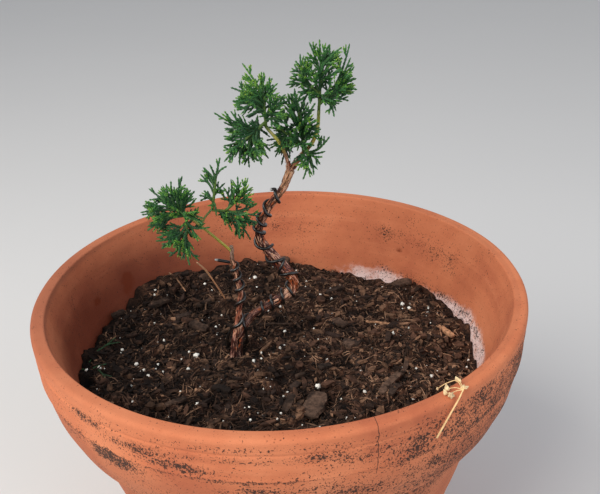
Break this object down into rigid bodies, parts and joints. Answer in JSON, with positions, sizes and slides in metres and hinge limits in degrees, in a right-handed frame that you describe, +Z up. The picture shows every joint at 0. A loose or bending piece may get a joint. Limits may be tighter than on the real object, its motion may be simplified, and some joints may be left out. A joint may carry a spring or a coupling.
{
  "type": "wired juniper in a clay pot",
  "caption": "Young juniper in training: slender stems wound with wire, sprays of scale foliage, in a wide weathered clay pot filled with bark potting mix.",
  "frame": {"origin": "centre of the pot's flat underside, on the surface it stands on", "axes": "+Z up along the pot's axis; -Y towards the viewer of the plant's front; +X to that viewer's right"},
  "size_m": [0.304, 0.304, 0.371],
  "materials": {
    "clay": "matte",
    "soil": "matte",
    "bark": "matte",
    "green_stem": "matte",
    "foliage": "matte",
    "wire": "satin",
    "straw": "matte"
  },
  "bodies": {
    "root": {"pot": "clay", "potting_soil": "soil", "trunk_base": "bark", "main_stem_lower": "bark", "main_stem_upper": "bark", "left_stem": "bark", "left_twig": "green_stem", "side_stalk": "green_stem", "right_bough": "bark", "left_bough": "bark", "main_wire": "wire", "left_wire": "wire", "foliage_upper_left": "foliage", "foliage_crown": "foliage", "foliage_middle": "foliage", "foliage_low_left": "foliage", "foliage_low_upright": "foliage", "foliage_low_right": "foliage", "dry_stick": "straw"}
  },
  "joints": []
}
